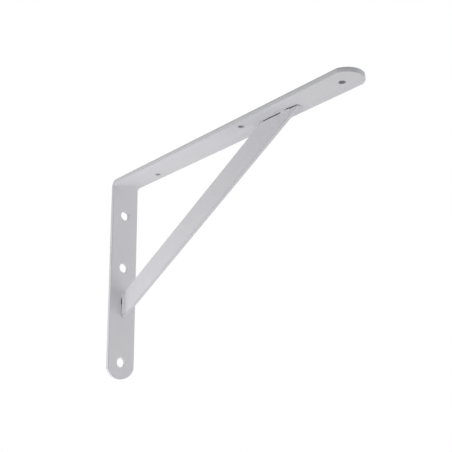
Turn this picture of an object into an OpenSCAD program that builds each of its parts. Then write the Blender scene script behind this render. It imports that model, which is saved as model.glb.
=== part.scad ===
// Braced shelf bracket: a flat bar folded to a right angle, stiffened by a flat bar set on edge.
// The leg stands against the wall, the arm carries the shelf. Millimetres.
// X runs out from the wall, Z up and Y across the bar. X = 0 is the wall face.
// The origin is the middle of the top wall hole, in the wall face.

/* [Folded bar] */
// Width of the bar
bar_w = 30; // [24:1:45]
// Thickness of the bar
bar_t = 4; // [3:0.5:6]
// Length of the arm, from the wall face to its tip
arm_len = 330; // [300:5:400]
// Length of the leg, from the shelf face to its tip
leg_len = 207; // [185:1:260]
// Inside radius of the fold
fold_r = 3.5; // [2:0.5:8]
// Rounding of the bar's long edges
edge_r = 0.4; // [0.2:0.1:1]
// How far the round ends rise beyond the shoulders of the bar
end_rise = 10.4; // [5:0.2:11]

/* [Wall holes] */
// Diameter of the holes in the leg
wall_hole_d = 10; // [6:0.5:12]
// Depth of the top wall hole below the shelf face
wall_hole_top = 37; // [25:1:55]
// Depth of the middle wall hole below the shelf face
wall_hole_mid = 93.5; // [75:0.5:100]
// Distance of the bottom wall hole from the leg's tip
wall_hole_end = 16.5; // [12:0.5:25]

/* [Shelf holes] */
// Diameter of the holes in the arm
shelf_hole_d = 6; // [4:0.5:8]
// Distance of the inner shelf hole from the wall face
shelf_hole_root = 55; // [40:1:90]
// Distance of the middle shelf hole from the wall face
shelf_hole_mid = 199; // [150:1:205]
// Distance of the outer shelf hole from the arm's tip
shelf_hole_end = 18.5; // [12:0.5:30]
// Sideways shift of the inner and middle shelf holes, to opposite sides
shelf_hole_shift = 6; // [0:0.5:7]

/* [Brace] */
// Width of the brace bar
brace_w = 22; // [16:1:26]
// Thickness of the brace bar
brace_t = 3.5; // [3:0.1:5]
// Depth below the shelf face at which the brace's lower edge meets the leg
brace_foot = 145; // [135:1:160]
// Distance from the wall face at which the brace's lower edge meets the arm
brace_reach = 265; // [255:1:285]
// Distance of the brace's middle plane from the middle of the folded bar
brace_side = 2; // [-4:0.1:4]
// Rounding of the brace bar's long edges
brace_edge_r = 0.4; // [0.2:0.1:0.8]
// How far the brace's thin tip is cut back from its reach
brace_blunt = 3; // [2.5:0.1:5]

/* [Welds] */
// Width of the gap that is left open at the brace's foot
foot_gap = 1.2; // [0.6:0.1:1.6]
// Length of the weld that fills the upper end of the foot, down from the brace's upper edge
foot_weld = 5; // [3:0.5:8]
// Length of the open gap below that weld; from there on the foot seats on the leg
foot_open = 7.5; // [4:0.5:9]
// Width of the gap along the brace's top end
top_gap = 0.8; // [0.4:0.1:1.5]
// Length of the weld that bridges the top gap
top_weld = 6; // [4:0.5:8]
// Distance of the middle of that weld from the brace's lower edge, along the arm
top_weld_at = 20.5; // [12:0.5:26]
// Radius of the weld beads on the brace's side
bead_r = 1.8; // [1:0.1:2]
// Depth of the beads' middle line behind the two faces that each stands on
bead_sink = 0.2; // [0.1:0.1:0.5]
// Length of the bead at the foot
foot_bead = 26; // [10:1:27]
// Height of the foot bead's upper end above the brace's upper edge
foot_bead_above = 3; // [2:0.5:4]
// Width of the crack under the foot bead where the foot is open
bead_lift = 0.5; // [0.3:0.1:0.6]
// Length of the bead at the top weld
top_bead = 9; // [8.5:0.5:12]

/* [Hidden] */
$fn = 96;
through = 1;
coat = [0.83, 0.83, 0.85];

// the fold's outside radius, and the places where the straight lengths begin
fold_out = fold_r + bar_t;

// the round ends: a circle through both shoulders and the tip, whose rounded rim runs out
// just beyond the shoulders
end_r = (bar_w * bar_w / 4 + end_rise * end_rise) / (2 * end_rise);
end_zone = end_rise + edge_r;

// hole places as distances along the leg and the arm, with their sideways shifts
wall_holes = [wall_hole_top, wall_hole_mid, leg_len - wall_hole_end];
shelf_holes = [
    [shelf_hole_root, shelf_hole_shift],
    [shelf_hole_mid, -shelf_hole_shift],
    [arm_len - shelf_hole_end, 0]
];

// the brace's lower edge runs between the leg's front face and the arm's under face
brace_run = brace_reach - bar_t;
brace_rise = brace_foot - bar_t;
brace_angle = atan2(brace_rise, brace_run);
brace_slack = brace_w / tan(brace_angle);

// where the welds lie: depths below the shelf face, and the distance from the wall face
foot_top = brace_foot - brace_w / cos(brace_angle);
foot_weld_end = foot_top + foot_weld;
top_weld_x = brace_reach - top_weld_at;
bead_side = brace_side - brace_t / 2 + bead_sink;

// A rectangle with round corners, standing on the origin in +X and centred on Y
module bar_section(thick, wide, corner) {
    translate([0, corner - wide / 2]) square([thick, wide - 2 * corner]);
    translate([corner, -wide / 2]) square([thick - 2 * corner, wide]);
    for (x = [corner, thick - corner], y = [corner - wide / 2, wide / 2 - corner])
        translate([x, y]) circle(corner);
}

// A straight length of the folded bar along +Z, its back face at X = 0
module straight_bar(len) {
    linear_extrude(len) bar_section(bar_t, bar_w, edge_r);
}

// The round end: a disc of the bar's thickness, its rim rounded as the bar's edges are
module end_disc() {
    translate([0, 0, end_r]) rotate([0, 90, 0]) rotate_extrude() {
        square([end_r - edge_r, bar_t]);
        translate([0, edge_r]) square([end_r, bar_t - 2 * edge_r]);
        for (y = [edge_r, bar_t - edge_r])
            translate([end_r - edge_r, y]) circle(edge_r);
    }
}

// A length of bar along +Z whose lower end, at Z = 0, is round
module round_ended_bar(len) {
    translate([0, 0, end_zone]) straight_bar(len - end_zone);
    intersection() {
        straight_bar(end_zone);
        end_disc();
    }
}

// The fold, a quarter turn from the top of the leg into the arm
module fold() {
    translate([fold_out, 0, -fold_out]) rotate([90, -90, 0])
        rotate_extrude(angle = 90)
            translate([fold_r, 0]) bar_section(bar_t, bar_w, edge_r);
}

module folded_bar() {
    color(coat) translate([0, 0, wall_hole_top]) difference() {
        union() {
            translate([0, 0, -leg_len]) round_ended_bar(leg_len - fold_out);
            fold();
            translate([arm_len, 0, 0]) rotate([0, -90, 0]) mirror([1, 0, 0])
                round_ended_bar(arm_len - fold_out);
        }
        for (drop = wall_holes)
            translate([-through, 0, -drop]) rotate([0, 90, 0])
                cylinder(d = wall_hole_d, h = bar_t + 2 * through);
        for (hole = shelf_holes)
            translate([hole[0], hole[1], -bar_t - through])
                cylinder(d = shelf_hole_d, h = bar_t + 2 * through);
    }
}

// The space that the brace and its welds may fill, seen from the side. It keeps the gaps clear of both
// faces, and reaches the leg at the foot's weld and seat and the arm at the top weld. Its outer end
// cuts the thin tip of the brace back.
module brace_space(gap) {
    translate([bar_t + gap, -leg_len])
        square([brace_reach - brace_blunt - bar_t - gap, leg_len - bar_t - top_gap]);
    translate([bar_t, -foot_weld_end]) square([2 * foot_gap, foot_weld_end - bar_t - fold_out]);
    translate([bar_t, -leg_len]) square([2 * foot_gap, leg_len - foot_weld_end - foot_open]);
    translate([top_weld_x - top_weld / 2, -bar_t - 2 * top_gap]) square([top_weld, 2 * top_gap]);
}

// A weld bead along +Z, round at both ends
module bead(len) {
    rotate(45) rotate_extrude() intersection() {
        union() {
            translate([0, bead_r]) square([bead_r, len - 2 * bead_r]);
            for (y = [bead_r, len - bead_r]) translate([0, y]) circle(bead_r);
        }
        square([bead_r, len]);
    }
}

// The beads, in the corners between the brace's side and the faces that it stands on
module beads() {
    translate([bar_t - bead_sink, bead_side, foot_bead_above - foot_top - foot_bead]) bead(foot_bead);
    translate([top_weld_x - top_bead / 2, bead_side, bead_sink - bar_t]) rotate([0, 90, 0]) bead(top_bead);
}

// The brace bar, longer than it needs to be, its lower edge on the line between foot and reach
module brace_stock() {
    translate([bar_t, brace_side, -brace_foot]) rotate([0, 90 - brace_angle, 0])
        translate([-brace_w, 0, -brace_slack])
            linear_extrude(norm([brace_run, brace_rise]) + 2 * brace_slack)
                bar_section(brace_w, brace_t, brace_edge_r);
}

// Whatever it holds, cut back to the brace's space, with the given gap at the leg
module fitted(gap) {
    intersection() {
        children();
        translate([0, bar_w / 2, 0]) rotate([90, 0, 0]) linear_extrude(bar_w) brace_space(gap);
    }
}

module diagonal_brace() {
    color(coat) translate([0, 0, wall_hole_top]) {
        fitted(foot_gap) brace_stock();
        fitted(bead_lift) beads();
    }
}

folded_bar();
diagonal_brace();
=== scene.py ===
"""Looks of the braced shelf bracket: powder-coated steel bar, a welded brace, soft studio light."""

import math

import bmesh
import bpy
from mathutils import Matrix, Vector


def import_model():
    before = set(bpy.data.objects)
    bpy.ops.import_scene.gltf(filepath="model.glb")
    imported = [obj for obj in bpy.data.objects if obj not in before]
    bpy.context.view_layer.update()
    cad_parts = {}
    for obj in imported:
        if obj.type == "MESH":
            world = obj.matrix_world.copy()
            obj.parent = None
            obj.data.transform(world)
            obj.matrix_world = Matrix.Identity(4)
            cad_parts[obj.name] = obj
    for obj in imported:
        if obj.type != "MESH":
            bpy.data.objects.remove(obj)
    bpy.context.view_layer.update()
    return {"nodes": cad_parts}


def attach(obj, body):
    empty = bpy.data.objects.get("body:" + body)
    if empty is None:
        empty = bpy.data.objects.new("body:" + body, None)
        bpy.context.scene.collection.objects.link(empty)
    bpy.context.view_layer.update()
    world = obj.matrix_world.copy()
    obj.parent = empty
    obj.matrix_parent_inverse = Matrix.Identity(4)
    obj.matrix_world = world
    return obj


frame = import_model()

MM_PER_M = 1000
WHITE = (1, 1, 1, 1)
FORWARD = (1, 0, 0)
DOWN = (0, 0, -1)
NEAR_SIDE = (0, -1, 0)

# The camera, from the photograph's own perspective
CAMERA_AT = Vector((0.66217, -0.41245, -0.23898))
CAMERA_RIGHT = Vector((0.639772, 0.768496, -0.010291))
CAMERA_UP = Vector((0.223507, -0.173225, 0.959186))
CAMERA_NEAR = 0.01
SENSOR_MM = 36.0
IMAGE_PX = 452
FOCAL_PX = 761.45

# The floor in metres, its tone, and the light of its own that only the eye sees
FLOOR_Z = -0.85
FLOOR_SIZE = 6.0
FLOOR_COLOUR = (0.9, 0.9, 0.9, 1)
FLOOR_ROUGHNESS = 0.9
FLOOR_LIFT = 0.66

# Strength of the world as a light on the part, where the eye sees it at full strength
WORLD_STRENGTH = 0.45

# Lamps: name, place in metres, side of the square lamp in metres, power in watts
LAMPS = (
    ("lamp_left", (0.020, -0.320, -0.200), 0.25, 0.45),
    ("lamp_left_low", (0.020, -0.320, -0.360), 0.25, 0.11),
    ("lamp_wall", (-0.120, -0.320, -0.200), 0.25, 0.10),
    ("lamp_below", (-0.120, -0.160, -0.550), 0.25, 0.45),
    ("lamp_right", (0.844, 0.704, 0.047), 0.70, 2.20),
    ("lamp_right_low", (0.752, 0.612, -0.540), 0.70, 1.32),
    ("lamp_above", (0.140, 0.100, 1.000), 0.70, 2.00),
)
LAMP_AIM = Vector((0.14, 0.0, -0.04))

# The coat's colours: both tones of its slow waves, and a painted light, lighter than the coat, in
# the wall bores
COAT_LOW = (0.707, 0.705, 0.736)
COAT_HIGH = (0.721, 0.719, 0.750)
PAINTED_WALL_BORE_LIGHT = (0.80, 0.797, 0.829)
# Painted shade: darker tones in the shelf bores, on the bar's edges, and on its narrow sides, the
# brace and by the foot
BORE_SHADE_ROOT = (0.57, 0.58, 0.60)
BORE_SHADE_MIDDLE = (0.51, 0.52, 0.54)
BORE_SHADE_TIP = (0.41, 0.42, 0.44)
PAINTED_EDGE_SHADE = (0.42, 0.43, 0.455)
PAINTED_SHADE_TONE = (0.555, 0.565, 0.590)
# Bare steel where the coat misses inside the slits, also painted as shade on the faces in front of
# them
BARE_STEEL_AND_SHADE = (0.020, 0.020, 0.022)

# The coat's gloss, and how much rougher the bare steel is
COAT_IOR = 1.5
COAT_SPECULAR = 0.35
COAT_ROUGHNESS = (0.50, 0.58)
STEEL_ROUGHER = 0.3
# Orange peel: strength of the bump, and its height in metres
PEEL_STRENGTH = 0.25
PEEL_HEIGHT = 0.00012
# Noises, as scale and detail, and the range of a noise over which tone and gloss are spread
TONE_NOISE = (22.0, 3.0)
SHADE_NOISE = (45.0, 2.0)
GLOSS_NOISE = (160.0, 2.0)
PEEL_NOISE = (620.0, 1.0)
NOISE_RANGE = (0.3, 0.7)
# How strong the patchy painted shade on edges, sides, brace and foot is, from its faintest places
# to its full ones
SHADE_STRENGTH = (0.75, 1.0)

# The folded bar as its painted shade and the beads follow it. Millimetres, part's frame.
BAR_HALF = 15.0
BAR_THICK = 4.0
ARM_FACE = 33.0
FOLD_MIDDLE = (7.5, 29.5)
FOLD_OUTSIDE = 7.5
END_RADIUS = 16.02
LEG_END_MIDDLE = -153.98
ARM_END_MIDDLE = 313.98
# Width of the painted shade on a long edge, also the brace's, and how soft its border is
EDGE_WIDE = 0.42
EDGE_SOFT = 0.10
# Depth over which the painted shade on the narrow sides fades, and where it covers them at the
# arm's tip
SIDE_FADE = 3.0
TIP_FADE = (326.5, 329.0)
# Heights over which the painted shade on the inner edge weakens up the leg, and the share that is
# left
LEG_FADE = (0.0, 25.0)
LEG_SHADE_SHARE = 0.4

# The brace as its painted edge shade follows it. Millimetres, part's frame.
BRACE_CORNER = (4.0, -108.0)
BRACE_WIDE = 22.0
BRACE_SIDES = (0.25, 3.75)
BRACE_ANGLE = math.atan2(141.0, 261.0)
# Distances from the leg's face over which the painted shade begins, and heights over which it ends
BRACE_START = (1.0, 3.0)
BRACE_STOP = (32.3, 32.7)
# Heights over which it fades, counted higher across the brace: the upper edge loses it first
BRACE_FADE = (33.5, 37.5)
BRACE_FADE_LEAN = 0.4
# How far beyond the brace's sides and its edges the painted shade is bounded, and how softly
BRACE_SIDE_MARGIN = 0.2
BRACE_EDGE_MARGIN = 0.25
BRACE_MARGIN_SOFT = 0.05

# Bores in millimetres: the two axes across, middle, radius, a box round each, and its colour:
# painted shade in the shelf bores, painted light in the wall bores
BORES = (
    ((0, 1), (55.0, 6.0), 3.0, (51, 2, 33.3), (59, 10, 36.7), BORE_SHADE_ROOT),
    ((0, 1), (199.0, -6.0), 3.0, (195, -10, 33.3), (203, -2, 36.7), BORE_SHADE_MIDDLE),
    ((0, 1), (311.5, 0.0), 3.0, (307, -4, 33.3), (316, 4, 36.7), BORE_SHADE_TIP),
    ((1, 2), (0.0, 0.0), 5.0, (0.3, -6, -6), (3.7, 6, 6), PAINTED_WALL_BORE_LIGHT),
    ((1, 2), (0.0, -56.5), 5.0, (0.3, -6, -62.5), (3.7, 6, -50.5), PAINTED_WALL_BORE_LIGHT),
    ((1, 2), (0.0, -153.5), 5.0, (0.3, -6, -159.5), (3.7, 6, -147.5), PAINTED_WALL_BORE_LIGHT),
)
BORE_MARGIN = 0.12
BORE_SOFT = 0.05
BORE_BOX_SOFT = 0.15

# Slits and cracks painted dark, as bare steel inside the gaps and as painted shade on the faces in
# front of them: a box round each in millimetres, how soft its border is, and how its height leans
# with Y
SLIT_SHADE_BOXES = (
    ((3.5, -2.10, -94.8), (4.54, 3.6, -89.4), 0.12, 0.0),
    ((3.5, -1.66, -107.5), (4.20, -1.3, -94.5), 0.06, 0.0),
    ((3.5, -1.70, -89.4), (4.54, 3.6, -87.9), 0.12, 0.0),
    ((3.5, 0.45, -95.3), (5.30, 3.6, -88.3), 0.12, 0.0),
    ((220.0, 0.20, 32.6), (241.6, 3.6, 33.5), 0.12, 0.0),
    ((238.0, -1.80, 32.05), (243.5, 0.4, 33.0), 0.12, 0.66),
    ((249.8, -0.70, 32.9), (251.4, 3.6, 33.5), 0.12, 0.0),
    ((251.2, -1.05, 32.9), (253.2, 3.6, 33.5), 0.12, 0.0),
    ((252.4, 0.00, 32.5), (257.5, 3.6, 33.5), 0.12, 0.0),
    ((257.0, 0.40, 32.0), (261.6, 1.9, 33.5), 0.12, 0.0),
)

# A thin painted shadow line under the foot, as a box like those of the slits
FOOT_SHADOW_LINE = ((3.7, -1.3, -108.65), (4.2, 4.9, -108.10), 0.12, 0.06)
# Painted shade on the brace's near side by the foot: its box, where it fades in metres of X, and
# its share
FOOT_SHADE_BOX = ((4.6, 0.15, -112.0), (15.0, 0.4, -78.0), 0.05)
FOOT_SHADE_FADE = (0.005, 0.014)
FOOT_SHADE_SHARE = 0.5

# Weld beads: distance of the stations, points across, and how deep the root sinks. Millimetres.
WELD_STEP = 0.2
WELD_ARC = 12
WELD_ROOT = 0.3
# Ripples: pitch, height and the power that rounds them
WELD_RIPPLE = 1.3
WELD_WAVE = 0.05
WELD_ROUND = 0.6
# Slow waves along a bead: height, rate and start of each
WELD_SLOW = ((0.05, 1.3, 0.4), (0.03, 0.57, 2.0))
# How much wider than its feet a bead is, to cover the source's, and how hollow a wide foot is
WELD_SKIN = 0.02
WELD_HOLLOW = 0.85
# A crack: the length over which it opens, and the share of the foot where a ring over it ends
CRACK_END = 0.01
CRACK_INSIDE = 0.5
# Points closer than this many metres are one
SAME_POINT = 1e-7


def camera():
    """The photograph's camera."""
    data = bpy.data.cameras.new("camera")
    data.sensor_width = SENSOR_MM
    data.lens = FOCAL_PX * SENSOR_MM / IMAGE_PX
    data.clip_start = CAMERA_NEAR
    ob = bpy.data.objects.new("camera", data)
    back = CAMERA_RIGHT.cross(CAMERA_UP)
    turn = Matrix((CAMERA_RIGHT, CAMERA_UP, back)).transposed().to_4x4()
    ob.matrix_world = Matrix.Translation(CAMERA_AT) @ turn
    bpy.context.scene.collection.objects.link(ob)
    bpy.context.scene.camera = ob


def lamp(name, place, side, power):
    """A square soft lamp that looks at the middle of the bracket."""
    data = bpy.data.lights.new(name, "AREA")
    data.shape = "SQUARE"
    data.size = side
    data.energy = power
    ob = bpy.data.objects.new(name, data)
    place = Vector(place)
    ob.rotation_euler = (LAMP_AIM - place).to_track_quat("-Z", "Y").to_euler()
    ob.location = place
    ob.visible_camera = False
    ob.visible_glossy = False
    bpy.context.scene.collection.objects.link(ob)


def seen(nodes, links):
    """One for the camera, a reflection or a look through glass, nought for the light's bounces."""
    path = nodes.new("ShaderNodeLightPath").outputs
    total = path["Is Camera Ray"]
    for kind in ("Is Glossy Ray", "Is Transmission Ray"):
        more = nodes.new("ShaderNodeMath")
        more.operation = "ADD"
        more.use_clamp = True
        links.new(total, more.inputs[0])
        links.new(path[kind], more.inputs[1])
        total = more.outputs[0]
    return total


def world():
    """A world that is plain white to the eye and a softer light on the part."""
    data = bpy.data.worlds.new("studio")
    data.use_nodes = True
    nodes, links = data.node_tree.nodes, data.node_tree.links
    nodes.clear()
    mix = nodes.new("ShaderNodeMixShader")
    links.new(seen(nodes, links), mix.inputs[0])
    for socket, strength in ((mix.inputs[1], WORLD_STRENGTH), (mix.inputs[2], 1.0)):
        light = nodes.new("ShaderNodeBackground")
        light.inputs["Color"].default_value = WHITE
        light.inputs["Strength"].default_value = strength
        links.new(light.outputs[0], socket)
    out = nodes.new("ShaderNodeOutputWorld")
    links.new(mix.outputs[0], out.inputs["Surface"])
    bpy.context.scene.world = data


def floor():
    """A plain pale floor, well below the bracket, which hangs on its wall."""
    half = FLOOR_SIZE / 2
    mesh = bpy.data.meshes.new("floor")
    corners = [(x * half, y * half, FLOOR_Z) for x, y in ((-1, -1), (1, -1), (1, 1), (-1, 1))]
    mesh.from_pydata(corners, [], [(0, 1, 2, 3)])
    ob = bpy.data.objects.new("floor", mesh)
    bpy.context.scene.collection.objects.link(ob)
    mat = bpy.data.materials.new("floor_white")
    mat.use_nodes = True
    nodes, links = mat.node_tree.nodes, mat.node_tree.links
    shader = nodes["Principled BSDF"]
    shader.inputs["Base Color"].default_value = FLOOR_COLOUR
    shader.inputs["Roughness"].default_value = FLOOR_ROUGHNESS
    shader.inputs["Specular IOR Level"].default_value = 0.0
    shader.inputs["Emission Color"].default_value = WHITE
    lift = nodes.new("ShaderNodeMath")
    lift.operation = "MULTIPLY"
    lift.inputs[1].default_value = FLOOR_LIFT
    links.new(seen(nodes, links), lift.inputs[0])
    links.new(lift.outputs[0], shader.inputs["Emission Strength"])
    mesh.materials.append(mat)


class Coat:
    """The nodes of one material, with the few steps that the masks and tones need."""

    def __init__(self, name):
        self.mat = bpy.data.materials.new(name)
        self.mat.use_nodes = True
        self.nodes, self.links = self.mat.node_tree.nodes, self.mat.node_tree.links
        self.shader = self.nodes["Principled BSDF"]
        self.place = self.nodes.new("ShaderNodeTexCoord").outputs["Object"]
        parts = self.nodes.new("ShaderNodeSeparateXYZ")
        self.links.new(self.place, parts.inputs[0])
        self.axes = parts.outputs

    def put(self, value, socket):
        """Gives a socket a number, or links another socket to it."""
        if isinstance(value, (int, float)):
            socket.default_value = value
        else:
            self.links.new(value, socket)

    def math(self, operation, *values):
        """One step of arithmetic on numbers or sockets."""
        n = self.nodes.new("ShaderNodeMath")
        n.operation = operation
        for socket, value in zip(n.inputs, values):
            self.put(value, socket)
        return n.outputs[0]

    def chain(self, operation, first, *others):
        """One step of arithmetic repeated over all values in turn."""
        for value in others:
            first = self.math(operation, first, value)
        return first

    def product(self, *values):
        """All values multiplied: as masks, where every one of them is."""
        return self.chain("MULTIPLY", *values)

    def most(self, *values):
        """The highest of the values: as masks, where any one of them is."""
        return self.chain("MAXIMUM", *values)

    def length(self, one, two):
        """The length of an arrow with two components."""
        squares = [self.math("MULTIPLY", value, value) for value in (one, two)]
        return self.math("SQRT", self.math("ADD", *squares))

    def millimetres(self):
        """The place in the part's frame, in millimetres."""
        return [self.math("MULTIPLY", axis, MM_PER_M) for axis in self.axes]

    def noise(self, scale, detail):
        """Noise that stands still in the part's frame."""
        n = self.nodes.new("ShaderNodeTexNoise")
        n.inputs["Scale"].default_value = scale
        n.inputs["Detail"].default_value = detail
        self.links.new(self.place, n.inputs["Vector"])
        return n.outputs["Fac"]

    def spread(self, value, low, high, start, end):
        """From low to high, smoothly, as the value goes from start to end."""
        m = self.nodes.new("ShaderNodeMapRange")
        m.interpolation_type = "SMOOTHSTEP"
        ends = {"From Min": start, "From Max": end, "To Min": low, "To Max": high}
        for name, number in ends.items():
            self.put(number, m.inputs[name])
        self.links.new(value, m.inputs["Value"])
        return m.outputs["Result"]

    def between(self, value, low, high, soft):
        """One between two places, nought outside, over a soft border."""
        rise = self.spread(value, 0.0, 1.0, low - soft, low + soft)
        fall = self.spread(value, 1.0, 0.0, high - soft, high + soft)
        return self.product(rise, fall)

    def box(self, lows, highs, soft, lean=0.0):
        """One inside a box of the part's frame, whose height leans with Y. Millimetres."""
        axes = list(self.axes)
        if lean:
            axes[2] = self.math("SUBTRACT", axes[2], self.math("MULTIPLY", axes[1], lean))
        return self.product(*(self.between(axis, low / MM_PER_M, high / MM_PER_M, soft / MM_PER_M)
                              for axis, low, high in zip(axes, lows, highs)))

    def bore(self, across, middle, radius, soft):
        """One inside a round bore, in the two axes across it. Millimetres."""
        offs = [self.math("SUBTRACT", self.axes[axis], at / MM_PER_M)
                for axis, at in zip(across, middle)]
        ends = ((radius - soft) / MM_PER_M, (radius + soft) / MM_PER_M)
        return self.spread(self.length(*offs), 1.0, 0.0, *ends)

    def mix(self, factor, low, high):
        """A colour between two others, each a tuple or a socket."""
        m = self.nodes.new("ShaderNodeMix")
        m.data_type = "RGBA"
        self.links.new(factor, m.inputs["Factor"])
        for name, value in (("A", low), ("B", high)):
            if isinstance(value, tuple):
                m.inputs[name].default_value = (*value, 1)
            else:
                self.links.new(value, m.inputs[name])
        return m.outputs["Result"]


def bar_edges(c):
    """Masks of painted shade: one along the edges of the folded bar, and one on its narrow sides
    towards the outer face.
    """
    x, y, z = c.millimetres()
    inward = c.most(c.math("SUBTRACT", FOLD_MIDDLE[0], x), 0.0)
    upward = c.most(c.math("SUBTRACT", z, FOLD_MIDDLE[1]), 0.0)
    depth = c.math("SUBTRACT", FOLD_OUTSIDE, c.length(inward, upward))
    outer = c.spread(depth, 1.0, 0.0, EDGE_WIDE - EDGE_SOFT, EDGE_WIDE + EDGE_SOFT)
    inside = BAR_THICK - EDGE_WIDE
    inner = c.spread(depth, 0.0, 1.0, inside - EDGE_SOFT, inside + EDGE_SOFT)
    inner = c.product(inner, c.spread(z, 1.0, LEG_SHADE_SHARE, *LEG_FADE))

    low = c.most(c.math("SUBTRACT", LEG_END_MIDDLE, z), 0.0)
    far = c.most(c.math("SUBTRACT", x, ARM_END_MIDDLE), 0.0)
    ends = c.math("SUBTRACT", c.most(c.length(low, y), c.length(far, y)), END_RADIUS)
    across = c.most(ends, c.math("SUBTRACT", c.math("ABSOLUTE", y), BAR_HALF))
    rim = c.spread(across, 0.0, 1.0, -EDGE_WIDE - EDGE_SOFT, -EDGE_WIDE + EDGE_SOFT)
    side = c.most(c.spread(depth, 1.0, 0.0, 0.0, SIDE_FADE), c.spread(x, 0.0, 1.0, *TIP_FADE))
    return c.product(c.most(outer, inner), rim), c.product(side, rim)


def brace_edges(c):
    """Mask of painted shade along the brace's long edges, away from the leg and the arm."""
    x, y, z = c.millimetres()
    along = c.math("SUBTRACT", x, BRACE_CORNER[0])
    above = c.math("SUBTRACT", z, BRACE_CORNER[1])
    off = c.math("SUBTRACT", c.math("MULTIPLY", above, math.cos(BRACE_ANGLE)),
                 c.math("MULTIPLY", along, math.sin(BRACE_ANGLE)))
    near, back = BRACE_SIDES
    flat = c.between(off, EDGE_WIDE, BRACE_WIDE - EDGE_WIDE, EDGE_SOFT)
    level = c.between(y, near + EDGE_WIDE, back - EDGE_WIDE, EDGE_SOFT)
    corner = c.product(c.math("SUBTRACT", 1.0, flat), c.math("SUBTRACT", 1.0, level))

    free = c.product(c.spread(along, 0.0, 1.0, *BRACE_START), c.spread(z, 1.0, 0.0, *BRACE_STOP))
    held = c.between(y, near - BRACE_SIDE_MARGIN, back + BRACE_SIDE_MARGIN, BRACE_MARGIN_SOFT)
    within = c.between(off, -BRACE_EDGE_MARGIN, BRACE_WIDE + BRACE_EDGE_MARGIN, BRACE_MARGIN_SOFT)
    height = c.math("ADD", z, c.math("MULTIPLY", off, BRACE_FADE_LEAN))
    under = c.product(within, c.spread(height, 1.0, 0.0, *BRACE_FADE))
    return c.product(corner, c.product(c.product(held, free), under))


def powder_coat():
    """Satin white powder coat: orange peel, faint waves of tone and gloss; painted shade on edges,
    narrow sides, brace, foot and shelf bores, painted light in the wall bores, and bare steel with
    painted shade in the slits.
    """
    c = Coat("powder_coat")
    c.shader.inputs["IOR"].default_value = COAT_IOR
    c.shader.inputs["Specular IOR Level"].default_value = COAT_SPECULAR
    tone = c.mix(c.spread(c.noise(*TONE_NOISE), 0.0, 1.0, *NOISE_RANGE), COAT_LOW, COAT_HIGH)
    edges, sides = bar_edges(c)
    # Patchy strength of the painted shade on edges, sides, brace and foot
    shade_patches = c.spread(c.noise(*SHADE_NOISE), *SHADE_STRENGTH, *NOISE_RANGE)
    # Painted shade on the brace's near side by the foot, fading away from the leg
    foot = c.product(c.spread(c.axes[0], FOOT_SHADE_SHARE, 0.0, *FOOT_SHADE_FADE), c.box(*FOOT_SHADE_BOX))
    # Painted shade on the narrow sides, the brace's edges, by the foot and in a shadow line under
    # it
    shaded = c.most(sides, brace_edges(c), foot, c.box(*FOOT_SHADOW_LINE))
    tone = c.mix(c.product(shaded, shade_patches), tone, PAINTED_SHADE_TONE)
    # Painted shade along the bar's long edges
    tone = c.mix(c.product(edges, shade_patches), tone, PAINTED_EDGE_SHADE)

    # Painted shade in the shelf bores, painted light in the wall bores
    for across, middle, radius, lows, highs, colour in BORES:
        bore = c.bore(across, middle, radius + BORE_MARGIN, BORE_SOFT)
        tone = c.mix(c.product(bore, c.box(lows, highs, BORE_BOX_SOFT)), tone, colour)

    # Dark of bare steel in the slits, with painted shade on the faces in front of them
    steel_and_shade = c.most(*(c.box(*row) for row in SLIT_SHADE_BOXES))
    tone = c.mix(steel_and_shade, tone, BARE_STEEL_AND_SHADE)
    c.links.new(tone, c.shader.inputs["Base Color"])

    matte = c.spread(c.noise(*GLOSS_NOISE), *COAT_ROUGHNESS, *NOISE_RANGE)
    matte = c.math("ADD", matte, c.math("MULTIPLY", steel_and_shade, STEEL_ROUGHER))
    c.links.new(matte, c.shader.inputs["Roughness"])
    bump = c.nodes.new("ShaderNodeBump")
    bump.inputs["Strength"].default_value = PEEL_STRENGTH
    bump.inputs["Distance"].default_value = PEEL_HEIGHT
    c.links.new(c.noise(*PEEL_NOISE), bump.inputs["Height"])
    c.links.new(bump.outputs["Normal"], c.shader.inputs["Normal"])
    return c.mat


def section(s, length, feet, spread, crack):
    """The ring of a bead at one station, each point off the bar's face and off the brace's side."""
    end = min(s, length - s)
    cap = math.sqrt(max(0.0, 1 - (1 - min(end / feet[0], 1)) ** 2))
    wave = WELD_WAVE * abs(math.sin(math.pi * s / WELD_RIPPLE)) ** WELD_ROUND
    slow = sum(height * math.sin(rate * s + start) for height, rate, start in WELD_SLOW)
    on_bar, on_brace = ((foot + wave + slow) * cap + WELD_SKIN for foot in feet)
    grow = 0.0
    if spread:
        wide, first, last, over = spread
        grow = max(0.0, min(1.0, (s - first) / over, (last - s) / over))
        grow *= grow * (3 - 2 * grow)
        on_brace += grow * (wide - feet[1])
    power = 1.0 + grow * WELD_HOLLOW
    rise = crack[2] if crack and crack[0] <= s <= crack[1] else 0.0

    ring = []
    for k in range(WELD_ARC + 1):
        turn = math.pi / 2 * k / WELD_ARC
        off_face = max(on_brace * math.sin(turn) ** power, rise)
        ring.append((off_face, on_bar * math.cos(turn) ** power))
    ring.append((max(on_brace, rise), -WELD_ROOT))
    ring.append((rise or -WELD_ROOT, -WELD_ROOT))
    ring.append((rise or -WELD_ROOT, on_bar * (CRACK_INSIDE if rise else 1.0)))
    return ring


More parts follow.
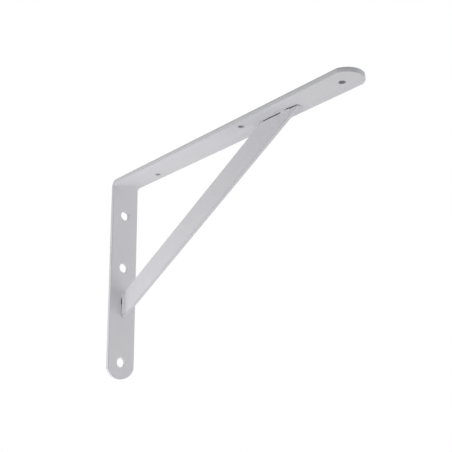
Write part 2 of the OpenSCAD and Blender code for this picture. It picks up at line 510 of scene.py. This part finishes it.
def fillet(name, mat, place, along, out, length, feet, spread=None, crack=None):
    """A coated weld bead in the corner between the bar and the brace's near side. Millimetres.

    It runs from a place along one direction, and out leads away from the bar's face. feet are its
    widths on the bar and on the brace; spread holds the wider foot on the brace, where that begins
    and ends, and over what length it grows. crack is the start, the end and the height of an open
    crack under its toe.
    """
    place, along, out, side = (Vector(v) for v in (place, along, out, NEAR_SIDE))
    stations = [k * WELD_STEP for k in range(int(length / WELD_STEP) + 1)]
    if crack:
        stations = sorted(stations + [crack[0] - CRACK_END, crack[1] + CRACK_END])
    mesh = bmesh.new()
    rings = []
    for s in stations:
        points = [place + along * s + out * u + side * v
                  for u, v in section(s, length, feet, spread, crack)]
        rings.append([mesh.verts.new(point / MM_PER_M) for point in points])
    for one, two in zip(rings, rings[1:]):
        count = len(one)
        for k in range(count):
            mesh.faces.new((one[k], one[(k + 1) % count], two[(k + 1) % count], two[k]))
        for k in (0, *range(WELD_ARC, count)):
            mesh.edges.get((one[k], two[k])).smooth = False
    mesh.faces.new(rings[0])
    mesh.faces.new(list(reversed(rings[-1])))
    bmesh.ops.remove_doubles(mesh, verts=mesh.verts[:], dist=SAME_POINT)
    bmesh.ops.recalc_face_normals(mesh, faces=mesh.faces[:])
    data = bpy.data.meshes.new(name)
    mesh.to_mesh(data)
    mesh.free()
    for face in data.polygons:
        face.use_smooth = True
    ob = bpy.data.objects.new(name, data)
    bpy.context.scene.collection.objects.link(ob)
    data.materials.append(mat)
    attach(ob, "root")


def dress(node, mat):
    """Gives a CAD node its material."""
    ob = frame["nodes"][node]
    ob.data.materials.clear()
    ob.data.materials.append(mat)


bpy.context.scene.view_settings.view_transform = "Standard"
camera()
world()
floor()
for row in LAMPS:
    lamp(*row)
coat = powder_coat()
dress("folded_bar", coat)
dress("diagonal_brace", coat)
fillet("foot_weld", coat, place=(BAR_THICK, BRACE_SIDES[0], -80.0), along=DOWN, out=FORWARD,
       length=26.2, feet=(1.74, 1.76), spread=(2.9, 2.6, 26.0, 4.5), crack=(8.0, 14.8, 0.5))
fillet("top_weld", coat, place=(239.9, BRACE_SIDES[0], ARM_FACE), along=FORWARD, out=DOWN,
       length=9.2, feet=(1.75, 1.75))
fillet("top_weld_end", coat, place=(247.0, BRACE_SIDES[0], 32.25), along=FORWARD, out=DOWN,
       length=6.0, feet=(0.5, 1.0))
